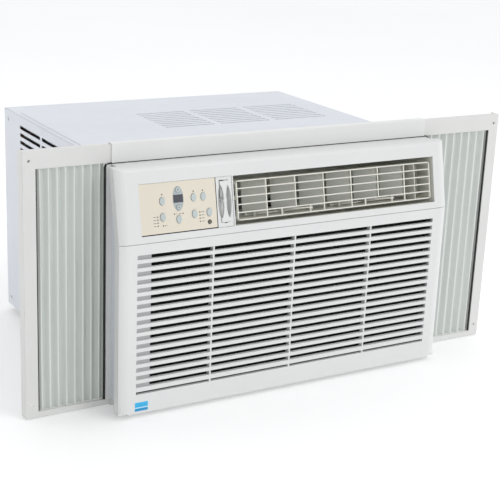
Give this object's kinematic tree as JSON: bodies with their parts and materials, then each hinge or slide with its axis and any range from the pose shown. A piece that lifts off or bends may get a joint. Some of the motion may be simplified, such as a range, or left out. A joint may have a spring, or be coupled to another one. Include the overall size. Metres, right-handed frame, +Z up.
{
  "type": "window air conditioner",
  "caption": "Window air conditioner with a sloped control face, tilting outlet louvres, hinged intake panel and sliding side curtains.",
  "frame": {"origin": "on the ground under the middle foot of the base pan, midway between the intake panel's front and the cabinet's rear", "axes": "+X along the front to the viewer's right, +Y outdoors, +Z up"},
  "size_m": [0.914, 0.566, 0.4353],
  "materials": {
    "cabinet_paint": "satin baked enamel, pale blue-grey white",
    "rail_paint": "satin baked enamel, warm white",
    "frame_plastic": "fine satin grain",
    "bellows_vinyl": "soft matt vinyl, grey-green",
    "bezel_plastic": "low-gloss moulded white",
    "label_film": "plain blue film",
    "filter_mesh": "dark woven mesh in a moulded frame",
    "panel_beige": "printed overlay, beige",
    "key_plastic": "pale blue-green grey",
    "dish_plastic": "blue-grey dish round the display",
    "display_smoke": "smoked window",
    "lamp_resin": "small lamps and receiver lens",
    "board_laminate": "green board with dark parts",
    "box_plastic": "flame-retardant moulding",
    "duct_plastic": "grey moulding",
    "louvre_cream": "cream moulding",
    "vane_grey": "grey moulding",
    "scroll_plastic": "grey moulding",
    "fan_plastic": "dark glass-filled moulding",
    "shaft_steel": "ground bar",
    "motor_steel": "dark enamel",
    "zinc_sheet": "zinc-coated sheet",
    "coil_fins": "thin fins on tubes",
    "compressor_paint": "black enamel",
    "rubber_black": "soft rubber",
    "copper_pipe": "drawn copper tube",
    "capacitor_can": "drawn can",
    "screw_steel": "bright screw heads"
  },
  "bodies": {
    "chassis": {"base_pan": "zinc_sheet", "cord_gland": "rubber_black", "cabinet_left_panel": "cabinet_paint", "cabinet_right_panel": "cabinet_paint", "cabinet_top_panel": "cabinet_paint", "rear_grille": "cabinet_paint", "top_rail": "rail_paint", "bottom_rail": "rail_paint", "left_curtain_bellows": "bellows_vinyl", "right_curtain_bellows": "bellows_vinyl", "curtain_clip_strips": "rail_paint", "bezel": "bezel_plastic", "air_filter": "filter_mesh", "control_panel": "panel_beige", "display_bezel": "dish_plastic", "display_window": "display_smoke", "status_lamps": "lamp_resin", "circuit_board": "board_laminate", "control_box": "box_plastic", "vent_escutcheon": "bezel_plastic", "outlet_duct": "duct_plastic", "blower_scroll": "scroll_plastic", "fan_motor": "motor_steel", "motor_bracket": "zinc_sheet", "partition": "zinc_sheet", "condenser_shroud": "zinc_sheet", "evaporator_coil": "coil_fins", "condenser_coil": "coil_fins", "compressor": "compressor_paint", "compressor_feet": "rubber_black", "refrigerant_pipes": "copper_pipe", "run_capacitor": "capacitor_can", "case_screws": "screw_steel"},
    "fan_rotor": {"motor_shaft": "shaft_steel", "blower_wheel": "fan_plastic", "condenser_fan": "fan_plastic"},
    "intake_panel": {"intake_grille": "bezel_plastic", "energy_label": "label_film"},
    "louvre": {"louvre_frame": "louvre_cream"},
    "vent_pull_body": {"vent_pull": "bezel_plastic"},
    "vent_door_body": {"vent_door": "box_plastic"},
    "left_curtain": {"left_curtain_frame": "frame_plastic"},
    "right_curtain": {"right_curtain_frame": "frame_plastic"},
    "left_link": {"left_vane_link": "louvre_cream"},
    "right_link": {"right_vane_link": "louvre_cream"},
    "vane_1_body": {"vane_1": "vane_grey"},
    "vane_2_body": {"vane_2": "vane_grey"},
    "vane_3_body": {"vane_3": "vane_grey"},
    "vane_4_body": {"vane_4": "vane_grey"},
    "vane_5_body": {"vane_5": "vane_grey"},
    "vane_6_body": {"vane_6": "vane_grey"},
    "key_1_body": {"key_1": "key_plastic"},
    "key_2_body": {"key_2": "key_plastic"},
    "key_3_body": {"key_3": "key_plastic"},
    "key_4_body": {"key_4": "key_plastic"},
    "key_5_body": {"key_5": "key_plastic"},
    "key_6_body": {"key_6": "key_plastic"},
    "key_7_body": {"key_7": "key_plastic"},
    "key_up_body": {"key_up": "key_plastic"},
    "key_down_body": {"key_down": "key_plastic"}
  },
  "joints": [
    {"name": "fan_spin", "type": "hinge", "parent": "chassis", "child": "fan_rotor", "pos_m": [0.06, -0.05, 0.172], "axis": [0, 1, 0], "continuous": true},
    {"name": "intake_panel_hinge", "type": "hinge", "parent": "chassis", "child": "intake_panel", "pos_m": [0, -0.2775, 0.0105], "axis": [1, 0, 0], "range_deg": [0, 55]},
    {"name": "louvre_tilt", "type": "hinge", "parent": "chassis", "child": "louvre", "pos_m": [0, -0.24819, 0.33893], "axis": [1, 0, 0], "range_deg": [-20, 20]},
    {"name": "vane_1_swing", "type": "hinge", "parent": "louvre", "child": "vane_1_body", "pos_m": [-0.0612, -0.24422, 0.33359], "axis": [0, 0.2079, 0.9781], "range_deg": [-71, 0]},
    {"name": "vane_2_swing", "type": "hinge", "parent": "louvre", "child": "vane_2_body", "pos_m": [-0.00606, -0.24422, 0.33359], "axis": [0, 0.2079, 0.9781], "range_deg": [-71, 0]},
    {"name": "vane_3_swing", "type": "hinge", "parent": "louvre", "child": "vane_3_body", "pos_m": [0.04909, -0.24422, 0.33359], "axis": [0, 0.2079, 0.9781], "range_deg": [-71, 0]},
    {"name": "vane_4_swing", "type": "hinge", "parent": "louvre", "child": "vane_4_body", "pos_m": [0.10423, -0.24422, 0.33359], "axis": [0, 0.2079, 0.9781], "range_deg": [-71, 0]},
    {"name": "vane_5_swing", "type": "hinge", "parent": "louvre", "child": "vane_5_body", "pos_m": [0.15937, -0.24422, 0.33359], "axis": [0, 0.2079, 0.9781], "range_deg": [-71, 0]},
    {"name": "vane_6_swing", "type": "hinge", "parent": "louvre", "child": "vane_6_body", "pos_m": [0.21451, -0.24422, 0.33359], "axis": [0, 0.2079, 0.9781], "range_deg": [-71, 0]},
    {"name": "left_link_pivot", "type": "hinge", "parent": "vane_2_body", "child": "left_link", "pos_m": [-0.01678, -0.24103, 0.3053], "axis": [0, 0.2079, 0.9781], "range_deg": [0, 71]},
    {"name": "right_link_pivot", "type": "hinge", "parent": "vane_5_body", "child": "right_link", "pos_m": [0.14865, -0.24103, 0.3053], "axis": [0, 0.2079, 0.9781], "range_deg": [0, 71]},
    {"name": "vent_pull_slide", "type": "slide", "parent": "chassis", "child": "vent_pull_body", "axis": [0, -1, 0], "range_m": [0, 0.018]},
    {"name": "vent_door_hinge", "type": "hinge", "parent": "chassis", "child": "vent_door_body", "pos_m": [-0.13, -0.0388, 0.368], "axis": [-1, 0, 0], "range_deg": [0, 35]},
    {"name": "left_curtain_slide", "type": "slide", "parent": "chassis", "child": "left_curtain", "axis": [1, 0, 0], "range_m": [-0.045, 0.06], "deforming": ["left_curtain_bellows"]},
    {"name": "right_curtain_slide", "type": "slide", "parent": "chassis", "child": "right_curtain", "axis": [-1, 0, 0], "range_m": [-0.038, 0.06], "deforming": ["right_curtain_bellows"]},
    {"name": "key_1_press", "type": "slide", "parent": "chassis", "child": "key_1_body", "axis": [0, 0.9781, -0.2079], "range_m": [0, 0.001], "stiffness_N_per_m": 300},
    {"name": "key_2_press", "type": "slide", "parent": "chassis", "child": "key_2_body", "axis": [0, 0.9781, -0.2079], "range_m": [0, 0.001], "stiffness_N_per_m": 300},
    {"name": "key_3_press", "type": "slide", "parent": "chassis", "child": "key_3_body", "axis": [0, 0.9781, -0.2079], "range_m": [0, 0.001], "stiffness_N_per_m": 300},
    {"name": "key_4_press", "type": "slide", "parent": "chassis", "child": "key_4_body", "axis": [0, 0.9781, -0.2079], "range_m": [0, 0.001], "stiffness_N_per_m": 300},
    {"name": "key_5_press", "type": "slide", "parent": "chassis", "child": "key_5_body", "axis": [0, 0.9781, -0.2079], "range_m": [0, 0.001], "stiffness_N_per_m": 300},
    {"name": "key_6_press", "type": "slide", "parent": "chassis", "child": "key_6_body", "axis": [0, 0.9781, -0.2079], "range_m": [0, 0.001], "stiffness_N_per_m": 300},
    {"name": "key_7_press", "type": "slide", "parent": "chassis", "child": "key_7_body", "axis": [0, 0.9781, -0.2079], "range_m": [0, 0.001], "stiffness_N_per_m": 300},
    {"name": "key_up_press", "type": "slide", "parent": "chassis", "child": "key_up_body", "axis": [0, 0.9781, -0.2079], "range_m": [0, 0.001], "stiffness_N_per_m": 300},
    {"name": "key_down_press", "type": "slide", "parent": "chassis", "child": "key_down_body", "axis": [0, 0.9781, -0.2079], "range_m": [0, 0.001], "stiffness_N_per_m": 300}
  ],
  "couplings": [
    {"joint": "vane_1_swing", "follows": "vane_2_swing", "ratio": 1},
    {"joint": "vane_3_swing", "follows": "vane_2_swing", "ratio": 1},
    {"joint": "left_link_pivot", "follows": "vane_2_swing", "ratio": -1},
    {"joint": "vane_4_swing", "follows": "vane_5_swing", "ratio": 1},
    {"joint": "vane_6_swing", "follows": "vane_5_swing", "ratio": 1},
    {"joint": "right_link_pivot", "follows": "vane_5_swing", "ratio": -1},
    {"joint": "vent_door_hinge", "follows": "vent_pull_slide", "rad_per_m": 33.93}
  ]
}
